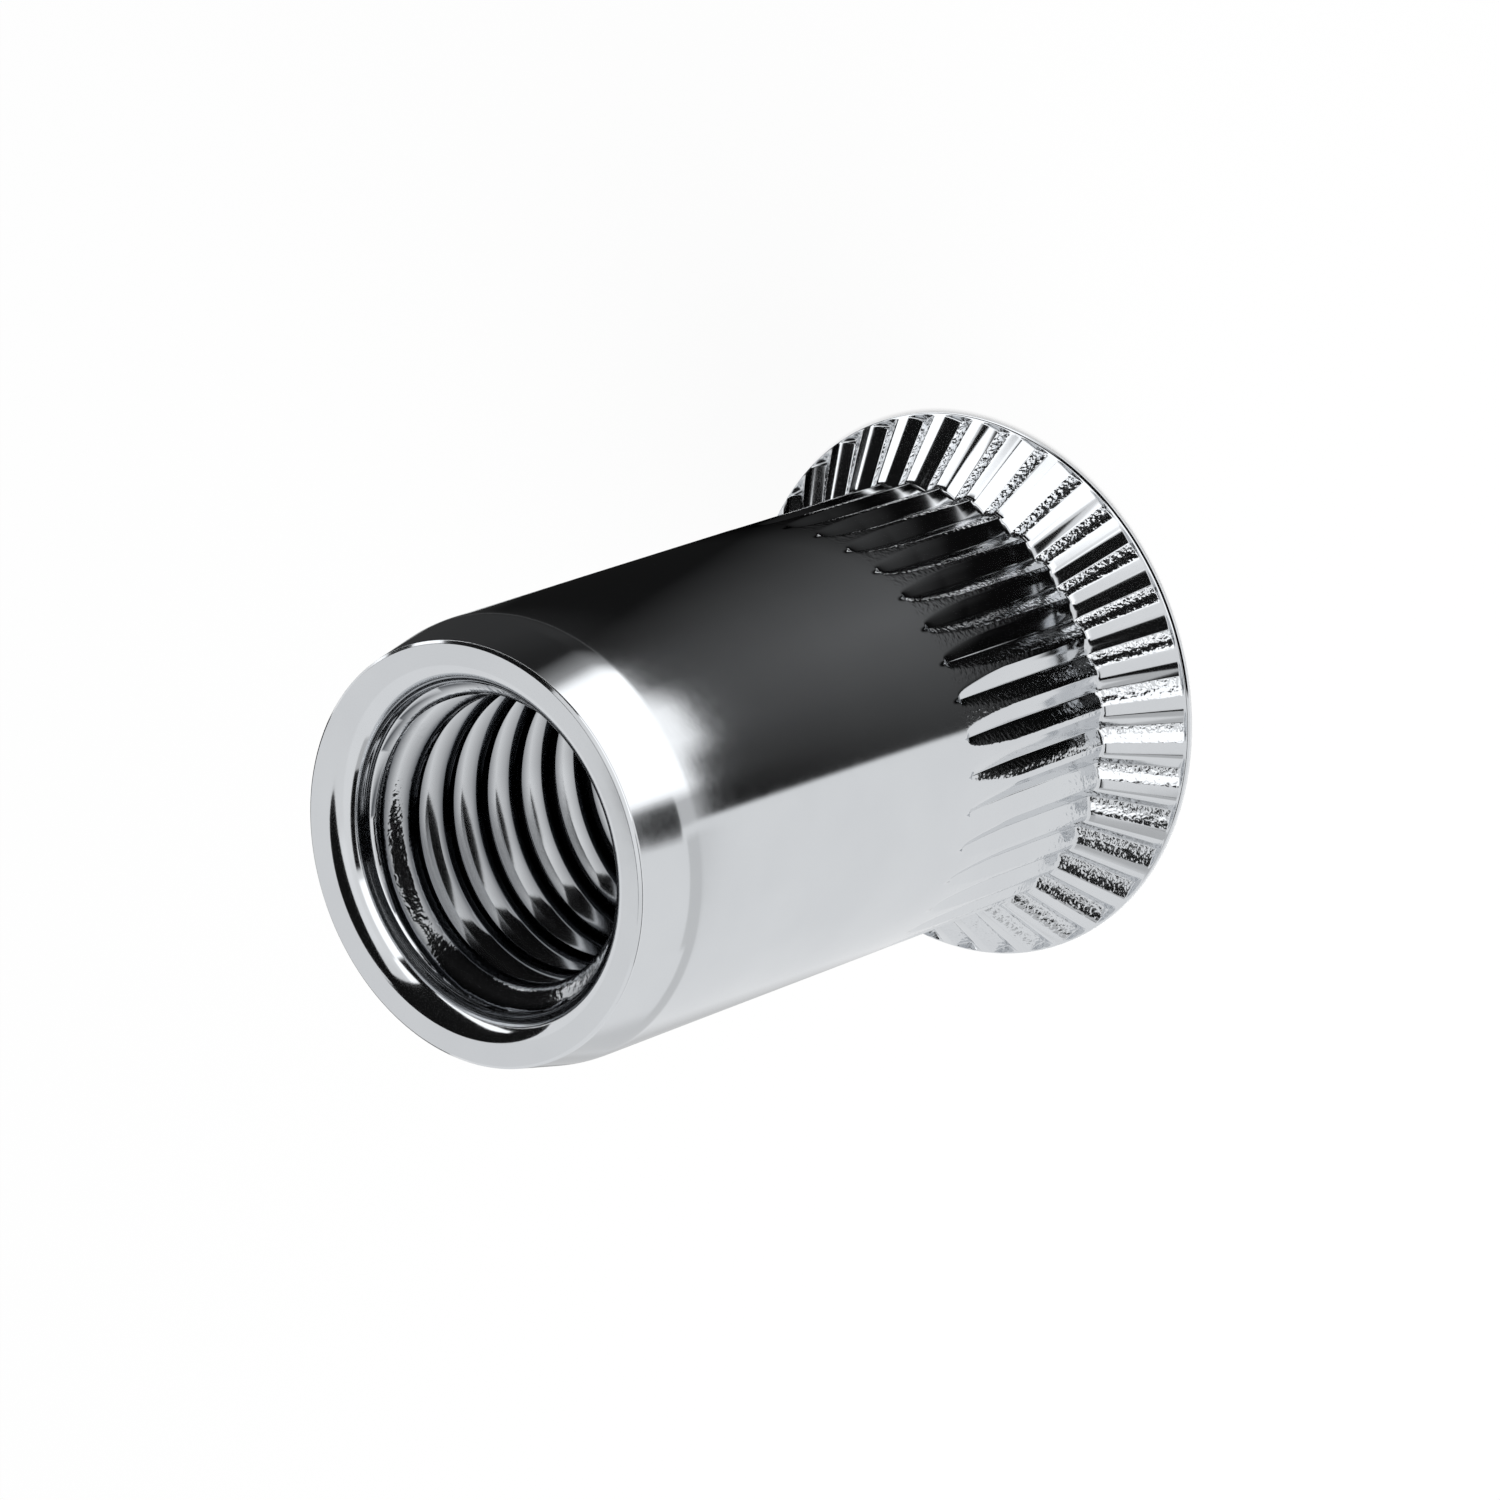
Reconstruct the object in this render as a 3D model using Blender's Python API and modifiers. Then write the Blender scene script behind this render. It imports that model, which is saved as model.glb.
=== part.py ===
"""Rivet nut with a countersunk head, a ribbed shank and an open end, for an M8 screw.

The nut is one piece of cold-formed steel. It stands on its head: the origin is the centre
of the head's flat face, and +Z runs along the axis to the threaded end.
"""

import math

import bmesh
import bpy
from mathutils import Vector

MM = 0.001

# Thread and walls, from the axis outwards
THREAD_DIAMETER = 8.0 * MM
THREAD_DEPTH = 0.55 * MM  # from the thread's outer diameter in to its crests
THREAD_WALL = 1.5 * MM  # from the thread's outer diameter to the shank's surface
SLEEVE_WALL = 1.08 * MM  # the thin wall that folds into a bulge when the nut is set
HEAD_OVERHANG = 1.5 * MM  # how far the head stands out past the shank

# Along the axis
OVERALL_LENGTH = 19.1 * MM
THREAD_LENGTH = 7.7 * MM  # bore at full thread, without the lead at the mouth
SLEEVE_END_ANGLE = math.radians(45.0)  # slope of the step from the sleeve to the thread

# Head
RIM_HEIGHT = 0.17 * MM
SEAT_ANGLE = math.radians(90.0)  # full angle of the countersunk seat
HEAD_MOUTH_CHAMFER = 0.25 * MM

# Threaded end
NOSE_LENGTH = 1.6 * MM
NOSE_ANGLE = math.radians(11.5)
NOSE_CORNER_RADIUS = 0.15 * MM
SHOULDER_RADIUS = 2.5 * MM
END_RING_WIDTH = 0.5 * MM
MOUTH_CLEARANCE = 0.06 * MM  # from the thread's outer diameter to the mouth's wall
MOUTH_ROUND_DEPTH = 0.6 * MM
MOUTH_DEPTH = 0.93 * MM
THREAD_LEAD_ANGLE = math.radians(120.0)  # full angle of the countersink at the thread's start

# Ribs on the shank and serrations on the seat, left between V grooves
RIB_COUNT = 36
RIB_CREST = 0.1 * MM
RIB_LENGTH = 5.35 * MM  # from the foot of the seat to the grooves' tips
RIB_RUN_OUT = 2.0 * MM
RIB_GROOVE_DEPTH = 0.22 * MM
SEAT_GROOVE_DEPTH = 0.2 * MM
SEAT_GROOVE_MARGIN = 0.1 * MM  # plain band between the serrations and the rim
SEAT_GROOVE_RUN_OUT = 0.2 * MM

# How finely the round forms are drawn
STEPS_PER_RIB = 3
NOSE_CORNER_STEPS = 3
MOUTH_STEPS = 5
SHOULDER_STEPS = 3
RIB_RUN_OUT_STEPS = 3
SEAT_RUN_OUT_STEPS = 2
SHARP_ANGLE = math.radians(25.0)
MERGE_DISTANCE = 0.001 * MM

# Worked out from the sizes above
THREAD_RADIUS = THREAD_DIAMETER / 2
TAPPED_RADIUS = THREAD_RADIUS - THREAD_DEPTH
MOUTH_RADIUS = THREAD_RADIUS + MOUTH_CLEARANCE
LEAD_HEIGHT = (MOUTH_RADIUS - TAPPED_RADIUS) / math.tan(THREAD_LEAD_ANGLE / 2)
SHANK_RADIUS = THREAD_RADIUS + THREAD_WALL
SLEEVE_RADIUS = SHANK_RADIUS - SLEEVE_WALL
HEAD_RADIUS = SHANK_RADIUS + HEAD_OVERHANG
SEAT_FOOT_HEIGHT = RIM_HEIGHT + HEAD_OVERHANG / math.tan(SEAT_ANGLE / 2)
RIB_TIP_HEIGHT = SEAT_FOOT_HEIGHT + RIB_LENGTH
TURN_STEPS = STEPS_PER_RIB * RIB_COUNT


def arc(centre, reach, start, end, steps):
    """Points along an elliptic arc in the profile plane, as (radius, height) pairs."""
    points = []
    for i in range(steps + 1):
        angle = start + (end - start) * i / steps
        radius = centre[0] + reach[0] * math.cos(angle)
        height = centre[1] + reach[1] * math.sin(angle)
        points.append((radius, height))
    return points


def nose_outline():
    """The rounded corner of the end face, then the tapered nose down to the shank's shoulder."""
    shoulder_height = OVERALL_LENGTH - NOSE_LENGTH
    corner_height = OVERALL_LENGTH - NOSE_CORNER_RADIUS
    nose_radius = SHANK_RADIUS - (corner_height - shoulder_height) * math.tan(NOSE_ANGLE)
    corner_centre = (nose_radius - NOSE_CORNER_RADIUS / math.cos(NOSE_ANGLE), corner_height)
    corner = arc(corner_centre, (NOSE_CORNER_RADIUS,) * 2, math.pi / 2, NOSE_ANGLE, NOSE_CORNER_STEPS)

    # the shoulder's round touches the shank below it and the taper above it
    shoulder_start = shoulder_height - SHOULDER_RADIUS * math.tan(NOSE_ANGLE / 2)
    shoulder_centre = (SHANK_RADIUS - SHOULDER_RADIUS, shoulder_start)
    shoulder = arc(shoulder_centre, (SHOULDER_RADIUS,) * 2, NOSE_ANGLE, 0.0, SHOULDER_STEPS)
    return corner + shoulder


def mouth_outline(ring_radius):
    """Up the tapped bore to the end face: the thread's lead, a short wall and the rounded mouth."""
    mouth_height = OVERALL_LENGTH - MOUTH_DEPTH
    lead = [(TAPPED_RADIUS, mouth_height - LEAD_HEIGHT), (MOUTH_RADIUS, mouth_height)]
    round_centre = (ring_radius, OVERALL_LENGTH - MOUTH_ROUND_DEPTH)
    round_reach = (ring_radius - MOUTH_RADIUS, MOUTH_ROUND_DEPTH)
    return lead + arc(round_centre, round_reach, math.pi, math.pi / 2, MOUTH_STEPS)


def sleeve_outline():
    """From the head's flat face up the sleeve to where the tapped bore begins."""
    tapped_start = OVERALL_LENGTH - MOUTH_DEPTH - LEAD_HEIGHT - THREAD_LENGTH
    sleeve_end = tapped_start - (SLEEVE_RADIUS - TAPPED_RADIUS) * math.tan(SLEEVE_END_ANGLE)
    return [
        (SLEEVE_RADIUS + HEAD_MOUTH_CHAMFER, 0.0),
        (SLEEVE_RADIUS, HEAD_MOUTH_CHAMFER),
        (SLEEVE_RADIUS, sleeve_end),
        (TAPPED_RADIUS, tapped_start),
    ]


def nut_outline():
    """The whole section, as (radius, height) pairs: down the outside, then up the bore."""
    nose = nose_outline()
    ring_radius = nose[0][0] - END_RING_WIDTH
    head = [(SHANK_RADIUS, SEAT_FOOT_HEIGHT), (HEAD_RADIUS, RIM_HEIGHT), (HEAD_RADIUS, 0.0)]
    return nose + head + sleeve_outline() + mouth_outline(ring_radius)


def turn(name, outline, collection):
    """Turn a closed outline about the axis into a round solid with crisp edges."""
    profile_mesh = bpy.data.meshes.new(name + "_profile")
    bm = bmesh.new()
    verts = [bm.verts.new((radius, 0.0, height)) for radius, height in outline]
    for i, vert in enumerate(verts):
        bm.edges.new((vert, verts[(i + 1) % len(verts)]))
    bm.to_mesh(profile_mesh)
    bm.free()

    profile = bpy.data.objects.new(name + "_profile", profile_mesh)
    collection.objects.link(profile)
    screw = profile.modifiers.new("Turn", "SCREW")
    screw.axis = "Z"
    screw.angle = 2 * math.pi
    screw.steps = TURN_STEPS
    screw.render_steps = TURN_STEPS
    screw.use_merge_vertices = True
    screw.merge_threshold = MERGE_DISTANCE

    evaluated = profile.evaluated_get(bpy.context.evaluated_depsgraph_get())
    mesh = bpy.data.meshes.new_from_object(evaluated)
    mesh.name = name
    mesh.shade_smooth()
    mesh.set_sharp_from_angle(angle=SHARP_ANGLE)
    bpy.data.objects.remove(profile)
    bpy.data.meshes.remove(profile_mesh)

    turned = bpy.data.objects.new(name, mesh)
    collection.objects.link(turned)
    return turned


def run_out(tip, full, reach, steps):
    """Sections from a groove's tip to its full size, which it nears as a circle nears its tangent."""
    sections = []
    for i in range(steps + 1):
        share = i / steps
        size = 1 - (1 - share) ** 2
        centre = tip.lerp(full, share)
        sections.append((centre, reach * size, groove_half_width(centre.x) * size))
    return sections


def groove_sections():
    """Sections of one V groove's cutter, from the head's rim along the seat and up the shank.

    Each is (centre, reach, half width): a point on the nut's surface, the vector from it to
    the cutter's outer edge, whose opposite is the bottom of the groove, and half its width.
    """
    half_angle = SEAT_ANGLE / 2
    along_seat = Vector((-math.sin(half_angle), math.cos(half_angle)))  # from the rim to the shank
    off_seat = Vector((math.cos(half_angle), math.sin(half_angle)))
    seat_tip = Vector((HEAD_RADIUS, RIM_HEIGHT)) + along_seat * SEAT_GROOVE_MARGIN
    seat_full = seat_tip + along_seat * SEAT_GROOVE_RUN_OUT
    foot = Vector((SHANK_RADIUS, SEAT_FOOT_HEIGHT))
    shank_full = Vector((SHANK_RADIUS, RIB_TIP_HEIGHT - RIB_RUN_OUT))
    shank_tip = Vector((SHANK_RADIUS, RIB_TIP_HEIGHT))

    # at the foot the bottom lies at both depths: below the seat and inside the shank
    foot_rise = (SEAT_GROOVE_DEPTH - RIB_GROOVE_DEPTH * off_seat.x) / off_seat.y
    foot_section = (foot, Vector((RIB_GROOVE_DEPTH, foot_rise)), groove_half_width(foot.x))
    on_seat = run_out(seat_tip, seat_full, off_seat * SEAT_GROOVE_DEPTH, SEAT_RUN_OUT_STEPS)
    on_shank = run_out(shank_tip, shank_full, Vector((RIB_GROOVE_DEPTH, 0.0)), RIB_RUN_OUT_STEPS)
    return on_seat + [foot_section] + on_shank[::-1]


def groove_half_width(radius):
    """Half of what the crests leave between them at a radius."""
    return radius * math.sin(math.pi / RIB_COUNT) - RIB_CREST / 2


def loft_groove(bm, angle):
    """One cutter with diamond sections and pointed ends, standing at an angle round the axis."""
    outward = Vector((math.cos(angle), math.sin(angle), 0.0))
    sideways = Vector((-math.sin(angle), math.cos(angle), 0.0))
    rings = []
    for centre, reach, half_width in groove_sections():
        middle = outward * centre.x + Vector((0.0, 0.0, centre.y))
        if half_width == 0.0:
            rings.append([bm.verts.new(middle)])
            continue
        edge = outward * reach.x + Vector((0.0, 0.0, reach.y))
        side = sideways * half_width
        rings.append([bm.verts.new(middle + offset) for offset in (edge, side, -edge, -side)])

    for lower, upper in zip(rings, rings[1:]):
        for i in range(4):
            j = (i + 1) % 4
            if len(lower) == 1:
                bm.faces.new((lower[0], upper[i], upper[j]))
            elif len(upper) == 1:
                bm.faces.new((lower[i], upper[0], lower[j]))
            else:
                bm.faces.new((lower[i], upper[i], upper[j], lower[j]))


def make_groove_cutter(collection):
    """All the V grooves' cutters as one hidden object, halfway between the ribs."""
    bm = bmesh.new()
    for i in range(RIB_COUNT):
        loft_groove(bm, 2 * math.pi * (i + 0.5) / RIB_COUNT)
    bmesh.ops.triangulate(bm, faces=bm.faces)
    bmesh.ops.recalc_face_normals(bm, faces=bm.faces)
    mesh = bpy.data.meshes.new("groove_cutter")
    bm.to_mesh(mesh)
    bm.free()

    cutter = bpy.data.objects.new("groove_cutter", mesh)
    cutter.hide_render = True
    cutter.display_type = "WIRE"
    collection.objects.link(cutter)
    return cutter


def zinc_plated_steel():
    """Bright, faintly blue plating, as it comes from the bath."""
    material = bpy.data.materials.new("zinc_plated_steel")
    material.use_nodes = True
    shader = material.node_tree.nodes["Principled BSDF"]
    shader.inputs["Base Color"].default_value = (0.66, 0.68, 0.71, 1.0)
    shader.inputs["Metallic"].default_value = 1.0
    shader.inputs["Roughness"].default_value = 0.16
    return material


def new_collection(name):
    collection = bpy.data.collections.new(name)
    bpy.context.scene.collection.children.link(collection)
    return collection


def main():
    for item in list(bpy.data.objects):
        bpy.data.objects.remove(item)
    nut_collection = new_collection("rivet_nut")
    cutter_collection = new_collection("cutters")

    nut = turn("rivet_nut", nut_outline(), nut_collection)
    nut.data.materials.append(zinc_plated_steel())
    grooves = nut.modifiers.new("Ribs and serrations", "BOOLEAN")
    grooves.operation = "DIFFERENCE"
    grooves.solver = "EXACT"
    grooves.object = make_groove_cutter(cutter_collection)


main()
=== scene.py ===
import math

import bpy
import numpy as np
from mathutils import Matrix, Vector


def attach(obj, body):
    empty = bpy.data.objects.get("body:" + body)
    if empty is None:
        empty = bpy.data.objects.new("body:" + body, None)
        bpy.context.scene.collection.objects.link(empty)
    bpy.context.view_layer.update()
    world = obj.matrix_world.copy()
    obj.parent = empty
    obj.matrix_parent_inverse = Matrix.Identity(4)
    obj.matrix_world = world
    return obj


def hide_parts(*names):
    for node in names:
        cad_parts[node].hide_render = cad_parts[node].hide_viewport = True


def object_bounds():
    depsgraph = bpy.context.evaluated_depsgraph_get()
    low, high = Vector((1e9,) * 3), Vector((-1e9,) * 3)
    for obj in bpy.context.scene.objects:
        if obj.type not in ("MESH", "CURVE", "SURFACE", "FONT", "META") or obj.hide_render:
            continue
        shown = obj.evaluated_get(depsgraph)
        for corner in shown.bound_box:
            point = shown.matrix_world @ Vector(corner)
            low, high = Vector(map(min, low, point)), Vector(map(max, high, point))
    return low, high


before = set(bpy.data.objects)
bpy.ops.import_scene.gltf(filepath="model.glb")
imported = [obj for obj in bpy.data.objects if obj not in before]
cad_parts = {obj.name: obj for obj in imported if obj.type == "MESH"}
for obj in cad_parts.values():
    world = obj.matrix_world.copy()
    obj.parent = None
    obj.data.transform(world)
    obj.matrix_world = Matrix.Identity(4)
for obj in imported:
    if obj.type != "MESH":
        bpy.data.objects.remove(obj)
cadLow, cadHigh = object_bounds()
scene = bpy.context.scene
mm = 0.001
diagonal = math.sqrt(0.5)  # cosine and sine of the seat's 45 degrees
bendShare = math.tan(math.radians(22.5))  # a round's distance from a 45 degree corner, in radii
print("frame loaded")


# colours and nodes

def linear(hexColour):
    # sRGB hex to linear: below 0.04045 a twelfth of the value, above it a power of 2.4
    parts = [int(hexColour[i:i + 2], 16) / 255 for i in (1, 3, 5)]
    return [c / 12.92 if c <= 0.04045 else ((c + 0.055) / 1.055) ** 2.4 for c in parts] + [1.0]


def addNode(tree, kind, settings=None, links=None):
    # links: input name or number -> (node, output name or number) or a plain value
    node = tree.nodes.new(kind)
    for name, value in (settings or {}).items():
        setattr(node, name, value)
    for name, value in (links or {}).items():
        if isinstance(value, tuple) and isinstance(value[0], bpy.types.Node):
            tree.links.new(value[0].outputs[value[1]], node.inputs[name])
        else:
            node.inputs[name].default_value = value
    return node


# the nut: one surface, as rings from the end face down the outside, over the head and up the bore

nut = {
    # millimetres, the same as the CAD's
    "length": round(cadHigh[2] / mm, 2),
    "headRadius": round(cadHigh[0] / mm, 2),
    "shankRadius": 5.5,
    "rimHeight": 0.17,
    "rimRound": 0.05,
    "neckRound": 0.2,
    "noseLength": 1.6,
    "noseAngle": math.radians(11.5),
    "noseCorner": 0.07,
    "shoulderRound": 2.5,
    "endRingWidth": 0.5,
    "mouthRadius": 4.06,
    "mouthRound": 0.6,  # how deep the rounded edge of the mouth goes
    "mouthPower": 1.35,  # of that edge's cosine and sine: 1 is an arc, more is flatter
    "mouthDepth": 0.93,
    "leadSlope": math.tan(math.radians(30)),  # the lead-in's length for each millimetre of radius
    "threadRadius": 4.0,
    "crestRadius": 3.45,
    "pitch": 1.25,
    "rootHeight": 16.366,  # a thread root's height on the +X side
    "tappedLength": 7.7,
    "threadRound": 0.12,  # width over which the thread's corners are rounded
    "sleeveRadius": 4.42,
    "headChamfer": 0.25,
    # ribs on the shank, serrations on the seat
    "ribs": 36,
    "ribTip": 7.02,
    "ribRunOut": 2.0,
    "ribDepth": 0.22,
    "ribWidthPower": 0.3,  # how bluntly a groove starts: 1 is a point, 0 a square end
    "ribDepthPower": 0.5,
    "seatDepth": 0.2,
    "seatMargin": 0.04,
    "seatRunOut": 0.05,
    "seatEndPower": 0.6,
    "leastWidth": 0.2,  # a groove's share of its full width never falls below this
    # a groove's corners as shares of half a rib pitch, from the crest's middle to the next: a V on the
    # shank, and on the seat a rough side, the valley and a steep smooth side
    "shankCorners": (-1.0, -0.83, -0.06, 0.0, 0.83, 1.0),
    "seatCorners": (-1.0, -0.74, -0.38, 0.0, 0.62, 1.0),
    "shankDepths": (0.0, 0.0, 1.0, 1.0, 0.0, 0.0),
    "roughSlopes": (0.9, 1.7),  # of the rough side: near the valley, then up to the crest
    "crestRound": 0.06,
    # how torn the metal is, at some of the groove's corners and between them
    "shankGrain": ((0, 1.5, 2, 4.1, 5), (0.35, 0.3, 0, 0, 0.35)),
    "seatGrain": ((0.85, 1, 2, 2.1, 2.9, 3), (0, 0.35, 0.45, 1, 1, 0)),
    "grainGrowth": 1.5,  # the grain is full before the groove is, by this factor
    "threadGrain": 0.2,  # most on the thread's first turn, at this depth and over this width
    "threadGrainDepth": 1.4,
    "threadGrainWidth": 0.6,
    "paintedShadeCrest": 0.17,  # how far the painted shade reaches from the thread's crests and roots
    "paintedShadeRoot": 0.12,
    # where the surface has its rings and columns
    "shankRings": (14.0, 11.0, 9.0, 7.9, 7.3),
    "ribRings": (4.3, 3.6, 2.9, 2.3),
    "ribSpread": 1.6,  # over 1, the run-out's rings lie closer together towards the tip
    "seatRings": (0.2, 0.7, 1.2, 1.8),
    "seatSpread": 0.8,
    "bandRing": 0.037,  # first ring of the plain band at the rim
    "ringGap": 0.01,  # rings this far from an edge, or a few times as far, keep flats flat in the shading
    "ribColumns": (0.5, 0.85, 1, 1.2, 1.5, 1.92, 2, 2.1, 2.5, 2.9, 3, 3.08, 3.5, 3.8, 4, 4.2, 4.5, 5),
    "boreColumns": 240,
    "sleeveRings": (3.0, 6.0),
    "helixStart": 0.3,  # how far up the step in the bore the thread's helical rows take over
    "threadRows": (0.0, 0.06, 0.1, 0.2, 0.32, 0.41, 0.46, 0.54),  # away from a root's middle
    "straightRings": (0.05, 0.5, 0.95),  # shares of a straight stretch of the nose
}
nut["neckHeight"] = nut["rimHeight"] + nut["headRadius"] - nut["shankRadius"]
nut["seatLength"] = (nut["headRadius"] - nut["shankRadius"]) / diagonal
nut["mouthFoot"] = nut["length"] - nut["mouthDepth"]
nut["leadLength"] = (nut["mouthRadius"] - nut["crestRadius"]) * nut["leadSlope"]
nut["tappedStart"] = round(nut["mouthFoot"] - nut["leadLength"] - nut["tappedLength"], 3)
nut["sleeveEnd"] = nut["tappedStart"] - (nut["sleeveRadius"] - nut["crestRadius"])


def arcPoints(centre, radius, start, end, steps):
    # an arc: the centre plus the radius times cosine and sine, the angle going evenly from start to end
    angle = np.radians(np.linspace(start, end, steps + 1))
    return np.stack([centre[0] + radius * np.cos(angle), centre[1] + radius * np.sin(angle)], 1)


def linePoints(start, end, shares):
    # points at the given shares of the straight way from start to end
    return start + (end - start) * np.array(shares)[:, None]


def softMax(a, b, width):
    # the larger of two, with the corner between them rounded over about the width
    return (a + b + np.sqrt((a - b) ** 2 + width ** 2)) / 2


def ringRows(places, reach, size, onSeat):
    # one row for each ring: its radius and height, the groove's inward reach in both, the groove's size
    # from 0 to 1, and 0 on the shank to 1 on the seat
    count = len(places)
    size, onSeat = [np.broadcast_to(value, count)[:, None] for value in (size, onSeat)]
    return np.concatenate([places, np.broadcast_to(reach, (count, 2)), size, onSeat], 1)


def endCorner():
    # centre of the round between the end ring and the nose's taper, which leans inwards from the shoulder
    n = nut
    height = n["length"] - n["noseCorner"]
    taper = (height - n["length"] + n["noseLength"]) * math.tan(n["noseAngle"])
    return n["shankRadius"] - taper - n["noseCorner"] / math.cos(n["noseAngle"]), height


def noseRows():
    # the end ring's edge, a narrow flat across its corner, the straight taper, an arc and the plain shank
    n = nut
    tilt = math.degrees(n["noseAngle"])
    cornerEnds = arcPoints(endCorner(), n["noseCorner"], 90, tilt, 1)
    corner = linePoints(cornerEnds[0], cornerEnds[1], (0, *n["straightRings"], 1))
    shoulder = n["length"] - n["noseLength"] - n["shoulderRound"] * math.tan(n["noseAngle"] / 2)
    shoulderCentre = (n["shankRadius"] - n["shoulderRound"], shoulder)
    shoulderArc = arcPoints(shoulderCentre, n["shoulderRound"], tilt, 0, 8)
    taper = linePoints(corner[-1], shoulderArc[0], n["straightRings"])
    heights = np.array([shoulder - 10 * n["ringGap"], *n["shankRings"]])
    plain = np.stack([np.full(len(heights), n["shankRadius"]), heights], 1)
    ringEdge = corner[:1] - [1.2 * n["ringGap"], 0]
    return ringRows(np.concatenate([ringEdge, corner, taper, shoulderArc, plain]), 0, 0, 0)


def ribRows():
    # grooves that start bluntly: over the run-out, width and depth grow as powers of the way from the tip
    n = nut
    share = np.linspace(0, 1, 14) ** n["ribSpread"]
    heights = np.concatenate([n["ribTip"] - share * n["ribRunOut"], n["ribRings"]])
    share = np.concatenate([share, np.ones(len(n["ribRings"]))])
    depth = share ** n["ribDepthPower"] * n["ribDepth"]
    places = np.stack([np.full(len(heights), n["shankRadius"]), heights], 1)
    return ringRows(places, np.stack([depth, depth * 0], 1), share ** n["ribWidthPower"], 0)


def neckRows():
    # a hollow arc between shank and seat. The grooves' reach goes evenly from straight in to their mitred
    # foot, half way round, and from there to square to the seat
    n = nut
    centre = (n["shankRadius"] + n["neckRound"], n["neckHeight"] + n["neckRound"] * bendShare)
    turned = np.linspace(0, 1, 7)
    square = n["seatDepth"] * diagonal
    footRise = (n["seatDepth"] - n["ribDepth"] * diagonal) / diagonal
    inward = np.interp(turned, (0, 0.5, 1), (n["ribDepth"], n["ribDepth"], square))
    upward = np.interp(turned, (0, 0.5, 1), (0, footRise, square))
    arc = arcPoints(centre, n["neckRound"], 180, 225, 6)
    return ringRows(arc, np.stack([inward, upward], 1), 1, turned)


def seatPlaces(fromNeck):
    # down the seat at 45 degrees, by the distance from its corner with the shank
    return np.stack([nut["shankRadius"] + fromNeck * diagonal, nut["neckHeight"] - fromNeck * diagonal], 1)


def seatRows():
    # serrations with blunt ends short of the rim: their size falls as a power of 1 less the share's square
    n = nut
    runOutStart = n["seatLength"] - n["seatMargin"] - n["seatRunOut"]
    share = np.linspace(0, 1, 11) ** n["seatSpread"]
    full = np.array([*n["seatRings"], runOutStart - 2 * n["ringGap"]])
    size = np.concatenate([np.ones(len(full)), (1 - share ** 2) ** n["seatEndPower"]])
    places = seatPlaces(np.concatenate([full, runOutStart + n["seatRunOut"] * share]))
    return ringRows(places, size[:, None] * n["seatDepth"] * diagonal, size, 1)


def rimRows():
    # a plain band of the seat, an arc to the short upright rim, and an arc to the head's flat face
    n = nut
    turn = n["rimRound"] * bendShare
    band = seatPlaces(n["seatLength"] - np.array([n["bandRing"], turn + n["ringGap"]]))
    middle = n["headRadius"] - n["rimRound"]
    upper = arcPoints((middle, n["rimHeight"] - turn), n["rimRound"], 45, 0, 4)
    lower = arcPoints((middle, n["rimRound"]), n["rimRound"], 0, -90, 6)
    flat = np.array([[middle - 2 * n["ringGap"], 0.0]])
    return ringRows(np.concatenate([band, upper, lower, flat]), 0, 0, 1)


def outsideGrid():
    # a point is its ring's place less the reach times the groove's depth: 1 in the valley, 0 on the crest
    n = nut
    rows = np.concatenate([noseRows(), ribRows(), neckRows(), seatRows(), rimRows()])
    radius, height, reachIn, reachUp, size, onSeat = [rows[:, i:i + 1] for i in range(6)]
    # columns from one crest's middle to the next: whole numbers are the groove's corners
    column = np.array(n["ribColumns"])
    segment = np.minimum(column.astype(int), len(n["seatCorners"]) - 2)
    part = (column - segment)[None, :]

    def spread(corners):
        # the corners' values, and evenly between them at the columns between
        return corners[:, segment] * (1 - part) + corners[:, segment + 1] * part

    corners = np.array([n["shankCorners"]]) * (1 - onSeat) + np.array([n["seatCorners"]]) * onSeat
    shares = spread(corners)
    corners[:, 1:5] *= np.maximum(size, n["leastWidth"])
    across = spread(corners)

    # the seat's depth is the lower of its rough and smooth sides, rounded over where it meets the crest
    slopeLow, slopeHigh = n["roughSlopes"]
    roughSide = np.minimum(1 + slopeLow * shares, slopeHigh * (shares - n["seatCorners"][1]))
    smoothSide = 1 - shares / n["seatCorners"][4]
    seatDepth = softMax(0.0, np.minimum(roughSide, smoothSide), n["crestRound"])
    depth = spread(np.array([n["shankDepths"]]) + 0 * size) * (1 - onSeat) + seatDepth * onSeat
    # a corner's column takes the mean with its neighbours, which rounds the corner
    mean = (np.roll(depth, 1, 1) + np.roll(depth, -1, 1)) / 4 + depth / 2
    isCorner = column[None, :-1] == segment[None, :-1]
    depth[:, :-1] = np.where(isCorner, mean[:, :-1], depth[:, :-1])

    shankGrain, seatGrain = np.interp(column, *n["shankGrain"]), np.interp(column, *n["seatGrain"])
    grain = (shankGrain * (1 - onSeat) + seatGrain * onSeat) * np.minimum(1, size * n["grainGrowth"])

    halfPitch = math.pi / n["ribs"]
    ribAngle = (np.arange(n["ribs"]) + 0.5) * 2 * halfPitch
    angle = ribAngle[None, :, None] + across[:, None, :] * halfPitch
    depth = np.broadcast_to(depth[:, None, :], angle.shape)
    r = radius[:, :, None] - reachIn[:, :, None] * depth
    z = height[:, :, None] - reachUp[:, :, None] * depth
    grain = np.broadcast_to(grain[:, None, :], angle.shape)
    points = np.stack([r * np.cos(angle), r * np.sin(angle), z], -1)
    count = len(rows)
    return points.reshape(count, -1, 3), grain.reshape(count, -1), angle.reshape(count, -1)[0]


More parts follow.
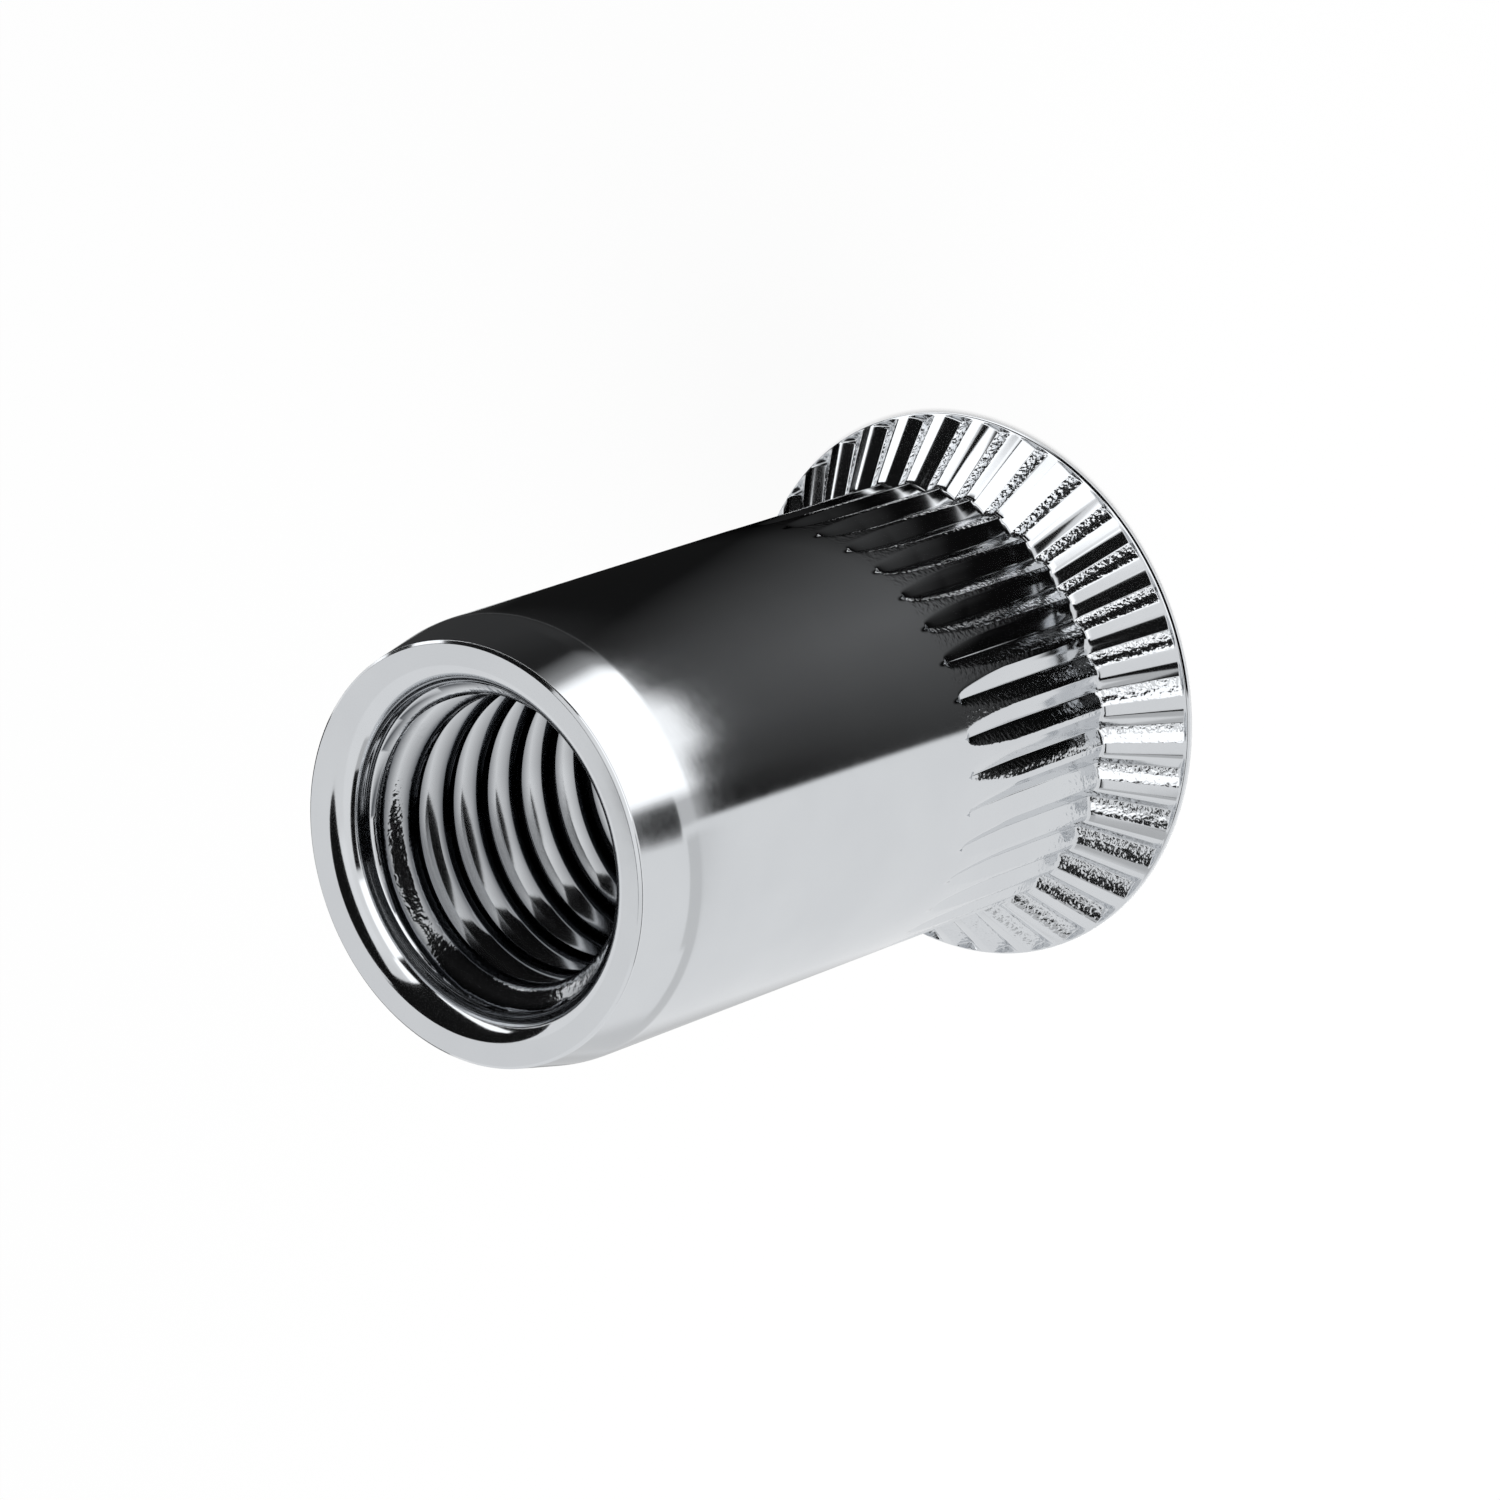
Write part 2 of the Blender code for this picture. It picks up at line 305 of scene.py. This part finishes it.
def sleeveOutline():
    # the head's mouth with its chamfer, the sleeve, and the start of the 45 degree step up to the thread
    n = nut
    r, end, chamfer = n["sleeveRadius"], n["sleeveEnd"], n["headChamfer"]
    gap, step = n["ringGap"], n["helixStart"]
    return np.array([
        [r + chamfer + 3 * gap, 0.0],
        [r + chamfer, 0.0],
        [r + chamfer - 2 * gap, 2 * gap],
        [r + 2 * gap, chamfer - 2 * gap],
        [r, chamfer + gap],
        [r, chamfer + 10 * gap],
        *[[r, height] for height in n["sleeveRings"]],
        [r, end - 10 * gap],
        [r, end - 2 * gap],
        [r - 2 * gap, end + 2 * gap],
        [r - step / 2, end + step / 2],
        [r - step, end + step],
    ])


def mouthOutline():
    # a short plain wall, then the mouth's edge: an arc with its cosine and sine raised to a power
    n = nut
    r, gap = n["mouthRadius"], n["ringGap"]
    ringRadius = endCorner()[0] - n["endRingWidth"]
    roundStart = n["length"] - n["mouthRound"]
    wall = [[r - 2 * gap, n["mouthFoot"]], [r, n["mouthFoot"] + 3 * gap], [r, roundStart - 5 * gap]]
    turned = np.radians(np.linspace(0, 90, 15))
    edge = np.stack([ringRadius - (ringRadius - r) * np.cos(turned) ** n["mouthPower"],
                     roundStart + n["mouthRound"] * np.sin(turned) ** n["mouthPower"]], 1)
    return np.concatenate([wall, edge, [[ringRadius + 1.2 * gap, n["length"]]]])


def threadHeights(angle, low, high):
    # helical rows, in the same steps up each turn: a row rises by the pitch times its share of the turn
    n = nut
    away = np.array(n["threadRows"])
    step = np.concatenate([-away[:0:-1], away, [n["pitch"] / 2]])
    first = math.floor((low - n["rootHeight"]) / n["pitch"]) - 2
    last = math.ceil((high - n["rootHeight"]) / n["pitch"]) + 1
    start = (np.arange(first, last + 1)[:, None] * n["pitch"] + step[None, :]).ravel() + n["rootHeight"]
    return start[:, None] + n["pitch"] * angle[None, :] / (2 * math.pi), len(step)


def threadRadius(height, angle):
    # 60 degree V thread: a root an eighth of the pitch wide, flanks at 30 degrees and a wider crest, its
    # corners a little rounded. A cone opens it towards the mouth, and a 45 degree cone towards the sleeve
    n = nut
    rise = height - n["rootHeight"] - n["pitch"] * angle / (2 * math.pi)
    away = np.abs((rise + n["pitch"] / 2) % n["pitch"] - n["pitch"] / 2)
    flank = n["threadRadius"] - (away - n["pitch"] / 16) / math.tan(math.radians(30))
    rootSide = -softMax(-n["threadRadius"], -flank, n["threadRound"])
    radius = softMax(n["crestRadius"], rootSide, n["threadRound"])
    lead = n["mouthRadius"] - 2 * n["ringGap"] - (n["mouthFoot"] - height) / n["leadSlope"]
    step = n["sleeveRadius"] - (height - n["sleeveEnd"])
    for cone in (lead, step):
        radius = softMax(radius, np.maximum(cone, 1.0), n["threadRound"])
    return radius


def boreSurface():
    # flat rings up the sleeve, helical rows through the thread, and flat rings round the mouth. Where a
    # helical row runs beyond the thread's ends, its points are those of the nearest flat ring
    n = nut
    columns = n["boreColumns"]
    angle = np.arange(columns) * 2 * math.pi / columns
    low, high = n["sleeveEnd"] + n["helixStart"], n["mouthFoot"]
    below, above = sleeveOutline(), mouthOutline()
    height, perTurn = threadHeights(angle, low, high)
    radius = threadRadius(height, angle[None, :])
    fromTorn = n["length"] - n["threadGrainDepth"] - height
    grain = n["threadGrain"] * np.exp(-(fromTorn / n["threadGrainWidth"]) ** 2)
    fromCrest, fromRoot = radius - n["crestRadius"], n["threadRadius"] - radius
    # painted shade: darkest on the thread's crests and roots, where the turns shade each other
    dull = np.maximum(np.exp(-(fromCrest / n["paintedShadeCrest"]) ** 2), np.exp(-(fromRoot / n["paintedShadeRoot"]) ** 2))

    # the points' numbers: a row's last column goes on into the first column of the row one turn higher
    margin = 1.2 * n["ringGap"]
    tooLow, tooHigh = height < low + margin, height > high - margin
    free = ~(tooLow | tooHigh)
    belowCount, aboveCount = len(below) * columns, len(above) * columns
    aboveStart = belowCount + free.sum()
    column = np.broadcast_to(np.arange(columns)[None, :], height.shape)
    numbers = np.zeros(height.shape, int)
    numbers[free] = belowCount + np.arange(free.sum())
    numbers[tooLow] = belowCount - columns + column[tooLow]
    numbers[tooHigh] = aboveStart + column[tooHigh]
    onwards = np.roll(numbers, -1, 1)
    onwards[:, -1] = np.concatenate([numbers[perTurn:, 0], np.full(perTurn, numbers[-1, 0])])

    def flatRings(outline):
        r, z = outline[:, :1], outline[:, 1:]
        return np.stack([r * np.cos(angle), r * np.sin(angle), z + 0 * angle], -1).reshape(-1, 3)

    helical = np.stack([radius * np.cos(angle), radius * np.sin(angle), height], -1)[free]
    points = np.concatenate([flatRings(below), helical, flatRings(above)])
    grain = np.concatenate([np.zeros(belowCount), grain[free], np.zeros(aboveCount)])
    # the sleeve below the thread is painted shade at full strength
    dull = np.concatenate([np.ones(belowCount), dull[free], np.zeros(aboveCount)])
    belowNumbers = np.arange(belowCount).reshape(-1, columns)
    aboveNumbers = aboveStart + np.arange(aboveCount).reshape(-1, columns)
    faces = np.concatenate([
        cellTriangles(belowNumbers, np.roll(belowNumbers, -1, 1)),
        cellTriangles(numbers, onwards),
        cellTriangles(aboveNumbers, np.roll(aboveNumbers, -1, 1)),
    ])
    return points, grain, dull, faces, belowNumbers[0], aboveNumbers[-1], angle


def cellTriangles(near, far):
    # two triangles for each cell between one row and the next; near and far are its sides' point numbers,
    # and a triangle that has shrunk to a line is left out
    a, b, c, d = near[:-1], near[1:], far[1:], far[:-1]
    both = np.concatenate([np.stack([a, b, c], -1).reshape(-1, 3), np.stack([a, c, d], -1).reshape(-1, 3)])
    distinct = (both[:, 0] != both[:, 1]) & (both[:, 1] != both[:, 2]) & (both[:, 2] != both[:, 0])
    return both[distinct]


def stitch(ringA, angleA, ringB, angleB):
    # joins two rings of different counts, both from the +X side on: their edges' middles are sorted by
    # angle, and each edge makes a triangle with the point that the other ring has reached by then
    def middles(angle):
        return (angle + np.append(angle[1:], angle[0] + 2 * math.pi)) / 2

    order = np.argsort(np.concatenate([middles(angleA), middles(angleB)]), kind="stable")
    isA = order < len(angleA)
    reachedA, reachedB = np.cumsum(isA) - isA, np.cumsum(~isA) - ~isA
    countA, countB = len(ringA), len(ringB)
    onA = np.stack([ringA[reachedA % countA], ringB[reachedB % countB], ringA[(reachedA + 1) % countA]], 1)
    onB = np.stack([ringA[reachedA % countA], ringB[reachedB % countB], ringB[(reachedB + 1) % countB]], 1)
    return np.where(isA[:, None], onA, onB)


def buildNut():
    # the outside and the bore, joined across the head's flat face and the end ring
    outside, grain, outsideAngle = outsideGrid()
    outsideNumbers = np.arange(grain.size).reshape(grain.shape)
    bore, boreGrain, borePaintedShade, boreFaces, headRing, endRing, boreAngle = boreSurface()
    faces = np.concatenate([
        cellTriangles(outsideNumbers, np.roll(outsideNumbers, -1, 1)),
        boreFaces + grain.size,
        stitch(outsideNumbers[-1], outsideAngle, headRing + grain.size, boreAngle),
        stitch(endRing + grain.size, boreAngle, outsideNumbers[0], outsideAngle),
    ])
    points = np.concatenate([outside.reshape(-1, 3), bore]) * mm
    mesh = bpy.data.meshes.new("rivetNutShell")
    mesh.from_pydata(points.tolist(), [], faces.tolist())
    grain = np.concatenate([grain.ravel(), boreGrain])
    dull = np.concatenate([np.zeros(outsideNumbers.size), borePaintedShade])
    for name, values in {"grain": grain, "dull": dull}.items():
        mesh.attributes.new(name, "FLOAT", "POINT").data.foreach_set("value", values.astype(np.float32))
    mesh.shade_smooth()
    mesh.validate()
    piece = bpy.data.objects.new("rivetNutShell", mesh)
    scene.collection.objects.link(piece)
    return piece


# bright zinc-plated steel, cold-formed: a mirror-like, faintly blue metal with a slight orange peel, with
# painted shade darkening the thread's crests and roots and the whole sleeve, and torn to a fine grain where
# the die has dragged it

plating = {
    "light": "#E1E3E5",
    "dark": "#D6D8DB",
    # the colour of the painted shade in the bore
    "dull": "#505358",
    "patchSize": 2.5,  # millimetres, as are the next four
    "peelSize": 0.22,
    "peelHeight": 0.0002,
    "grainSize": 0.12,
    "grainHeight": 0.042,
    "roughness": 0.09,
    "roughnessChange": 0.008,
    "grainRoughness": 0.16,
}


def zincPlatedSteel():
    material = bpy.data.materials.new("zincPlatedSteel")
    material.use_nodes = True
    tree = material.node_tree
    shader = tree.nodes["Principled BSDF"]
    shader.inputs["Metallic"].default_value = 1.0
    place = addNode(tree, "ShaderNodeTexCoord")
    patches = addNode(tree, "ShaderNodeTexNoise", None,
                      {"Vector": (place, "Object"), "Scale": 1 / (plating["patchSize"] * mm),
                       "Detail": 3.0})
    colour = addNode(tree, "ShaderNodeMix", {"data_type": "RGBA"},
                     {0: (patches, "Fac"), 6: linear(plating["dark"]), 7: linear(plating["light"])})
    # painted shade in the bore: this attribute darkens the base colour towards the shade colour
    dull = addNode(tree, "ShaderNodeAttribute", {"attribute_name": "dull"})
    paintedShadeColour = addNode(tree, "ShaderNodeMix", {"data_type": "RGBA"},
                     {0: (dull, "Fac"), 6: (colour, 2), 7: linear(plating["dull"])})
    tree.links.new(paintedShadeColour.outputs[2], shader.inputs["Base Color"])

    grain = addNode(tree, "ShaderNodeAttribute", {"attribute_name": "grain"})
    peel = addNode(tree, "ShaderNodeTexNoise", None,
                   {"Vector": (place, "Object"), "Scale": 1 / (plating["peelSize"] * mm), "Detail": 4.0})
    rough = addNode(tree, "ShaderNodeMapRange", None,
                    {"Value": (peel, "Fac"), "From Min": 0.3, "From Max": 0.7,
                     "To Min": plating["roughness"] - plating["roughnessChange"],
                     "To Max": plating["roughness"] + plating["roughnessChange"]})
    added = plating["grainRoughness"] - plating["roughness"]
    rougher = addNode(tree, "ShaderNodeMath", {"operation": "MULTIPLY_ADD"},
                      {0: (grain, "Fac"), 1: added, 2: (rough, 0)})
    tree.links.new(rougher.outputs[0], shader.inputs["Roughness"])

    peelBump = addNode(tree, "ShaderNodeBump", None,
                       {"Height": (peel, "Fac"), "Distance": plating["peelHeight"] * mm, "Strength": 1.0})
    torn = addNode(tree, "ShaderNodeTexNoise", None,
                   {"Vector": (place, "Object"), "Scale": 1 / (plating["grainSize"] * mm), "Detail": 1.0})
    tornLevel = addNode(tree, "ShaderNodeMath", {"operation": "SUBTRACT"}, {0: (torn, "Fac"), 1: 0.5})
    tornHeight = addNode(tree, "ShaderNodeMath", {"operation": "MULTIPLY"},
                         {0: (tornLevel, 0), 1: (grain, "Fac")})
    tornBump = addNode(tree, "ShaderNodeBump", None,
                       {"Height": (tornHeight, 0), "Distance": plating["grainHeight"] * mm,
                        "Strength": 1.0, "Normal": (peelBump, "Normal")})
    tree.links.new(tornBump.outputs["Normal"], shader.inputs["Normal"])
    return material


nutPiece = buildNut()
nutPiece.data.materials.append(zincPlatedSteel())
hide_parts("rivet_nut")
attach(nutPiece, "root")
print("nut:", len(nutPiece.data.vertices), "points,", len(nutPiece.data.polygons), "triangles")


# the stage: a pale floor, a soft world, a lamp, and light and dark cards that only reflections see
# Millimetres and degrees. A brightness of 1 is white, and more keeps a reflection white on duller metal

stage = {
    "turn": math.radians(-1.95),  # of camera, cards and lamp, so that the ribs meet the photograph's
    "cardColour": "#FDFEFF",
    "flagGlow": 0.006,  # of the black cards
    "highlight": 1.5,
    "floorColour": "#F4F4F4",
    "floorGlow": 0.94,  # under 1, so that the nut's shadow stays
    "floorRings": (0.0, 30.0, 900.0),
    "floorDrop": 0.01,  # how far the floor lies under the nut
    "cardRise": 0.05,  # and how far its card lies over the nut's foot
    "footMargin": 0.1,  # the floor's glow grows from this far inside the head's edge to this far outside, a painted contact shadow round the foot
    "worldDiffuse": 0.45,
}
stageTurn = Matrix.Rotation(stage["turn"], 4, "Z")


def aimed(azimuth, elevation, distance, aim):
    # a camera's or lamp's place: from the aim out along azimuth and elevation, looking back at it
    target, away = Matrix.Translation([v * mm for v in aim]), Matrix.Translation((0, 0, distance * mm))
    swung = Matrix.Rotation(math.radians(azimuth), 4, "Z")
    tipped = Matrix.Rotation(math.radians(90 - elevation), 4, "Y")
    return stageTurn @ target @ swung @ tipped @ away


def seenDirectly(tree):
    # 1 for rays from the camera, from reflections and through glass, and 0 for those that light the nut
    path = addNode(tree, "ShaderNodeLightPath")
    seen = addNode(tree, "ShaderNodeMath", {"operation": "ADD"},
                   {0: (path, "Is Camera Ray"), 1: (path, "Is Glossy Ray")})
    seenToo = addNode(tree, "ShaderNodeMath", {"operation": "ADD", "use_clamp": True},
                      {0: (seen, 0), 1: (path, "Is Transmission Ray")})
    return seenToo, 0


def glowMaterial():
    # gives off its "glow" attribute's brightness
    material = bpy.data.materials.new("studioCard")
    material.use_nodes = True
    tree = material.node_tree
    tree.nodes.clear()
    glow = addNode(tree, "ShaderNodeAttribute", {"attribute_name": "glow"})
    light = addNode(tree, "ShaderNodeEmission", None,
                    {"Color": linear(stage["cardColour"]), "Strength": (glow, "Fac")})
    addNode(tree, "ShaderNodeOutputMaterial", None, {"Surface": (light, 0)})
    return material


def meshFromGrid(name, points, material, glow=None):
    # a grid of points as a sheet of quads
    rows, columns = points.shape[:2]
    number = np.arange(rows * columns).reshape(rows, columns)
    faces = np.stack([number[:-1, :-1], number[1:, :-1], number[1:, 1:], number[:-1, 1:]], -1)
    faces = faces.reshape(-1, 4)
    mesh = bpy.data.meshes.new(name)
    mesh.from_pydata((points.reshape(-1, 3) * mm).tolist(), [], faces.tolist())
    if glow is not None:
        level = np.broadcast_to(glow, points.shape[:2]).ravel().astype(np.float32)
        mesh.attributes.new("glow", "FLOAT", "POINT").data.foreach_set("value", level)
    mesh.materials.append(material)
    sheet = bpy.data.objects.new(name, mesh)
    sheet.matrix_world = stageTurn
    scene.collection.objects.link(sheet)
    return sheet


def glowCard(name, points, glow):
    # a card that only reflections see
    sheet = meshFromGrid(name, points, studioCard, glow)
    sheet.visible_camera = False
    sheet.visible_diffuse = False
    sheet.visible_shadow = False
    sheet.visible_transmission = False


def window(value, low, high, soft):
    # 1 between low and high, going evenly to 0 across each end over the soft width
    return np.clip(np.minimum(value - low, high - value) / soft + 0.5, 0, 1)


def painted(glow, across, along, patches):
    # lays patches over a card's brightness, each with soft ends both ways
    for acrossEnds, acrossSoft, alongEnds, alongSoft, value in patches:
        share = window(across, *acrossEnds, acrossSoft) * window(along, *alongEnds, alongSoft)
        glow = glow * (1 - share) + value * share
    return glow


# the floor card's patches, each laid over those before it: azimuth from and to and how soft its ends are,
# distance from the axis from and to and how soft, and its brightness
floorPatches = {
    "behindGrey": ((-246, -222), 16, (0, 90), 1, 0.6),
    "behindDark": ((-275, -244), 8, (0, 90), 1, 0.28),
    "noseGrey": ((-222, -112), 4, (21, 30), 1.5, 0.68),
    "noseGreyWider": ((-160, -112), 4, (29, 36), 1.5, 0.68),
    "shankHaze": ((-107, 60), 1, (0, 21), 0.4, None),  # its brightness is the haze's
    "headFlag": ((58, 100), 2, (0, 9.7), 0.5, 0.01),
    "noseTone": ((-107, 90), 1, (21, 90), 0.4, 0.62),
    "noseHighlight": ((-94, -30), 6, (21, 80), 0.4, stage["highlight"]),
    "noseFlag": ((-26, 86), 18, (21, 90), 0.4, 0.02),
    "shoulderFlag": ((-12, 84), 16, (21, 35), 6, 0.04),
    "shoulderHighlight": ((-78, -51), 12, (20.1, 21.3), 0.7, 1.3),
    "neckHighlight": ((-44, 42), 10, (0, 7.3), 0.2, stage["highlight"]),
}
floorHaze = {
    "centre": (7.0, -10.0),
    "ring": (7.5, 30.0),  # distances from the centre between which it is darkest
    "soft": 14.0,
    "least": 0.008,
    "most": 0.128,
    "headShade": (8.5, 11.0, 0.04),  # it fades to this share between these distances from the axis
}
floorCardGlow = 0.87  # where no patch lies
noseSpot = {
    "azimuth": -103.5,
    "radius": 45.2,
    "halfAngle": 5.0,
    "halfWidth": 2.0,
    "reach": 2.2,  # in halves of its angle and width: dark to 1 less than this, and gone at it
    "glow": 0.015,
}


def floorCard():
    # the floor round the nut as the shank, the ribs and the nose reflect it. Its rings are closer together
    # where patches have their edges
    r = np.concatenate([np.linspace(7.03, 12, 26), np.linspace(12.4, 19, 14), np.linspace(19.1, 22.5, 35),
                        np.linspace(23, 36, 14), np.linspace(36.3, 48, 40), np.linspace(49, 75, 8)])
    a, r = np.meshgrid(np.linspace(-270, 90, 361), r)
    x, y = r * np.cos(np.radians(a)), r * np.sin(np.radians(a))
    # haze: brightest at one place, darkest between two distances from it, and fading towards the head
    h = floorHaze
    away = np.hypot(x - h["centre"][0], y - h["centre"][1])
    haze = h["least"] + (h["most"] - h["least"]) * (1 - window(away, *h["ring"], h["soft"]))
    shadeStart, shadeEnd, shadeLeast = h["headShade"]
    haze = haze * np.clip((r - shadeStart) / (shadeEnd - shadeStart), shadeLeast, 1)
    patches = [patch[:-1] + (haze,) if patch[-1] is None else patch for patch in floorPatches.values()]
    glow = painted(np.full(a.shape, floorCardGlow), a, r, patches)
    # a round dark spot that the nose reflects, falling off evenly at its edge
    s = noseSpot
    away = np.hypot((a - s["azimuth"]) / s["halfAngle"], (r - s["radius"]) / s["halfWidth"])
    spot = np.clip(s["reach"] - away, 0, 1)
    glow = glow * (1 - spot) + s["glow"] * spot
    glowCard("floorCard", np.stack([x, y, np.full(a.shape, stage["cardRise"])], -1), glow)


# the sky card's patches, in the same order but with elevations: plain ones, then ones on a band that climbs
# with the azimuth, counted from 0 to 1 across it, then one up to a slanting edge, counted from there
skyPatches = {
    "leftBox": ((-98, -47), 2, (6, 31), 2, stage["highlight"]),
    "frontBox": ((-47, 52), 2, (-20, 36), 2, stage["highlight"]),
    "upperTone": ((-300, 120), 1, (42, 100), 3, 0.82),
    "upperBox": ((-130, -50), 20, (42, 100), 6, 0.95),
}
skyBand = {"azimuth": (-183, -163, -106), "low": (3, 5, 14), "width": (15.5, 16, 15)}
bandPatches = {
    "bandFlag": ((-163, -104), 1.5, (0, 1), 0.08, stage["flagGlow"]),
    "bandGrey": ((-183, -163), 1.5, (0, 1), 0.08, 0.55),
}
slantEdge = {"azimuth": (-47, -7, 26), "high": (26.5, 16.5, -4)}
slantPatches = {"slantFlag": ((-47, 26), 1.5, (-90, 0), 1.5, stage["flagGlow"])}
skyBall = {"radius": 100.0, "centreHeight": 8.0, "glow": 0.88}


def skyCard():
    # half a ball round the nut as its seat, mouth and thread reflect it
    a, e = np.meshgrid(np.linspace(-270, 90, 241), np.linspace(-9, 89, 99))
    low, width = [np.interp(a, skyBand["azimuth"], skyBand[name]) for name in ("low", "width")]
    slant = e - np.interp(a, slantEdge["azimuth"], slantEdge["high"])
    glow = painted(np.full(a.shape, skyBall["glow"]), a, e, skyPatches.values())
    glow = painted(glow, a, (e - low) / width, bandPatches.values())
    glow = painted(glow, a, slant, slantPatches.values())
    a, e = np.radians(a), np.radians(e)
    points = np.stack([np.cos(e) * np.cos(a), np.cos(e) * np.sin(a), np.sin(e)], -1) * skyBall["radius"]
    glowCard("skyCard", points + [0, 0, skyBall["centreHeight"]], glow)


# upright cards in front of the mouth: azimuths, and the heights of the lower and upper edge there
endWall = {"distance": 30.5, "azimuth": (-26, 56), "low": (20.5, 20.5), "high": (130, 130),
           "glow": stage["flagGlow"]}
mouthGlow = {"distance": 30.0, "azimuth": (-15, 5, 28, 38), "low": (20.5, 20.5, 22.0, 25.0),
             "high": (21.8, 24.0, 28.5, 27.5), "glow": stage["highlight"]}
roof = {"radius": 4.95, "height": 30.0, "glow": stage["flagGlow"]}


def wallCard(name, azimuth, distance, low, high, glow):
    # part of an upright round wall, its edges going evenly between the heights given
    a = np.linspace(azimuth[0], azimuth[-1], 61)
    z = np.linspace(np.interp(a, azimuth, low), np.interp(a, azimuth, high), 5)
    a = np.radians(a) + 0 * z
    glowCard(name, np.stack([distance * np.cos(a), distance * np.sin(a), z], -1), glow)


def roofCard(radius, height, glow):
    # a round card over the mouth
    a, r = np.meshgrid(np.radians(np.linspace(0, 360, 49)), np.linspace(0.01, radius, 4))
    glowCard("roofCard", np.stack([r * np.cos(a), r * np.sin(a), np.full(a.shape, height)], -1), glow)


def paleFloor():
    # matt to the light that falls on it and almost white to the eye, except under the nut, where only the
    # matt part shows, and in a narrow ring round the head's edge, where the glow fades as a painted contact
    # shadow
    material = bpy.data.materials.new("paleFloor")
    material.use_nodes = True
    tree = material.node_tree
    tree.nodes.clear()
    place = addNode(tree, "ShaderNodeTexCoord")
    away = addNode(tree, "ShaderNodeVectorMath", {"operation": "LENGTH"}, {0: (place, "Object")})
    inner, outer = [(nut["headRadius"] + side * stage["footMargin"]) * mm for side in (-1, 1)]
    # painted contact shadow: the glow fades to nothing across the head's edge
    outside = addNode(tree, "ShaderNodeMapRange", None,
                      {"Value": (away, "Value"), "From Min": inner, "From Max": outer,
                       "To Min": 0.0, "To Max": stage["floorGlow"]})
    share = addNode(tree, "ShaderNodeMath", {"operation": "MULTIPLY"},
                    {0: seenDirectly(tree), 1: (outside, 0)})
    matt = addNode(tree, "ShaderNodeBsdfDiffuse", None, {"Color": linear(stage["floorColour"])})
    glow = addNode(tree, "ShaderNodeEmission", None, {"Color": linear("#FFFFFF"), "Strength": 1.0})
    mixed = addNode(tree, "ShaderNodeMixShader", None, {0: (share, 0), 1: (matt, 0), 2: (glow, 0)})
    addNode(tree, "ShaderNodeOutputMaterial", None, {"Surface": (mixed, 0)})
    a, r = np.meshgrid(np.radians(np.linspace(0, 360, 97)), np.array(stage["floorRings"]))
    points = np.stack([r * np.cos(a), r * np.sin(a), np.full(a.shape, -stage["floorDrop"])], -1)
    meshFromGrid("floor", points, material)


def softWorld():
    # white to the eye and in reflections, and dimmer as light on the nut
    world = bpy.data.worlds.new("softWorld")
    scene.world = world
    world.use_nodes = True
    tree = world.node_tree
    tree.nodes.clear()
    strength = addNode(tree, "ShaderNodeMapRange", None,
                       {"Value": seenDirectly(tree), "To Min": stage["worldDiffuse"], "To Max": 1.0})
    sky = addNode(tree, "ShaderNodeBackground", None,
                  {"Color": linear("#FFFFFF"), "Strength": (strength, 0)})
    addNode(tree, "ShaderNodeOutputWorld", None, {"Surface": (sky, 0)})


keyBox = {"azimuth": 200, "elevation": 55, "distance": 120, "aim": (0, 0, 8), "size": 90, "watts": 0.15}


def softBox(name, azimuth, elevation, distance, aim, size, watts):
    # a square area light that reflections don't see
    lamp = bpy.data.lights.new(name, "AREA")
    lamp.shape = "SQUARE"
    lamp.size = size * mm
    lamp.energy = watts
    box = bpy.data.objects.new(name, lamp)
    box.matrix_world = aimed(azimuth, elevation, distance, aim)
    box.visible_glossy = False
    scene.collection.objects.link(box)


paleFloor()
softWorld()
studioCard = glowMaterial()
floorCard()
skyCard()
roofCard(**roof)
wallCard("endWall", **endWall)
wallCard("mouthGlow", **mouthGlow)
softBox("keyBox", **keyBox)
print("stage set")


# the camera, at the photograph's angle

cameraPlace = {
    "azimuth": -90.0,
    "elevation": 47.982,
    "roll": -19.109,
    "distance": 194.81,
    "aim": (0.218, -0.816, nut["length"] / 2),
    "lens": 192.0,
    "sensorWidth": 36.0,
    "clip": (1.0, 10000.0),
}


def placeCamera():
    c = cameraPlace
    data = bpy.data.cameras.new("camera")
    data.lens = c["lens"]
    data.sensor_width = c["sensorWidth"]
    data.clip_start, data.clip_end = [v * mm for v in c["clip"]]
    camera = bpy.data.objects.new("camera", data)
    roll = Matrix.Rotation(math.radians(c["roll"]), 4, "Z")
    camera.matrix_world = aimed(c["azimuth"], c["elevation"], c["distance"], c["aim"]) @ roll
    scene.collection.objects.link(camera)
    scene.camera = camera


placeCamera()
scene.view_settings.view_transform = "Standard"
print("camera placed")
